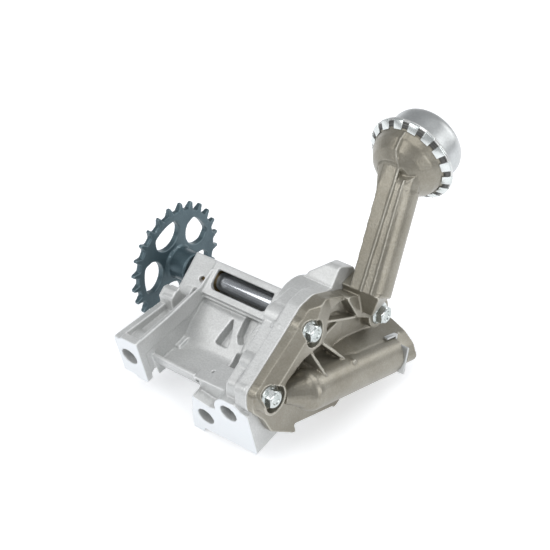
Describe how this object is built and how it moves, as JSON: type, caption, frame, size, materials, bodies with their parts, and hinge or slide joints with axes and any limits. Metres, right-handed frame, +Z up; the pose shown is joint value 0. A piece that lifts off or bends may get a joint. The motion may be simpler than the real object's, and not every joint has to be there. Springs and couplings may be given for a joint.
{
  "type": "engine oil pump",
  "caption": "Chain-driven gear oil pump with ribbed cover, relief valve barrel, slanted pickup tube and round strainer.",
  "frame": {"origin": "centre of the front dowel bore's mouth, on the face that bolts to the engine", "axes": "+X along the pump shaft from the sprocket to the cover, +Y away from the engine towards the strainer, +Z up"},
  "size_m": [0.1591, 0.187, 0.151],
  "materials": {
    "cast_housing": "satin cast",
    "cast_cover": "matte cast",
    "sprocket_steel": "blackened sintered steel",
    "ground_steel": "ground",
    "pressed_steel": "satin pressed",
    "zinc_steel": "bright zinc",
    "bearing_bronze": "satin"
  },
  "bodies": {
    "housing": {"pump_housing": "cast_housing", "front_bush": "bearing_bronze", "rear_bush": "bearing_bronze", "idler_spindle": "ground_steel", "cover_dowels": "ground_steel", "pickup_cover": "cast_cover", "cover_bolt_upper": "zinc_steel", "cover_bolt_lower": "zinc_steel", "cover_bolt_side": "zinc_steel", "relief_spring": "ground_steel", "spring_seat": "ground_steel", "retaining_plate": "zinc_steel", "strainer_cap": "pressed_steel", "strainer_gauze": "pressed_steel"},
    "drive": {"drive_shaft": "ground_steel", "drive_sprocket": "sprocket_steel", "drive_gear": "ground_steel", "gear_key": "ground_steel"},
    "idler": {"idler_gear": "ground_steel", "idler_bush": "bearing_bronze"},
    "relief_valve": {"relief_piston": "ground_steel"}
  },
  "joints": [
    {"name": "shaft_spin", "type": "hinge", "parent": "housing", "child": "drive", "pos_m": [0, 0.075, 0.0035], "axis": [1, 0, 0], "continuous": true},
    {"name": "idler_spin", "type": "hinge", "parent": "housing", "child": "idler", "pos_m": [0, 0.04699, -0.01648], "axis": [1, 0, 0], "continuous": true},
    {"name": "relief_slide", "type": "slide", "parent": "housing", "child": "relief_valve", "axis": [0, 0.8829, -0.4695], "range_m": [0, 0.012], "stiffness_N_per_m": 6000, "springref_m": -0.01, "deforming": ["relief_spring"]}
  ],
  "couplings": [
    {"joint": "idler_spin", "follows": "shaft_spin", "ratio": -1}
  ]
}
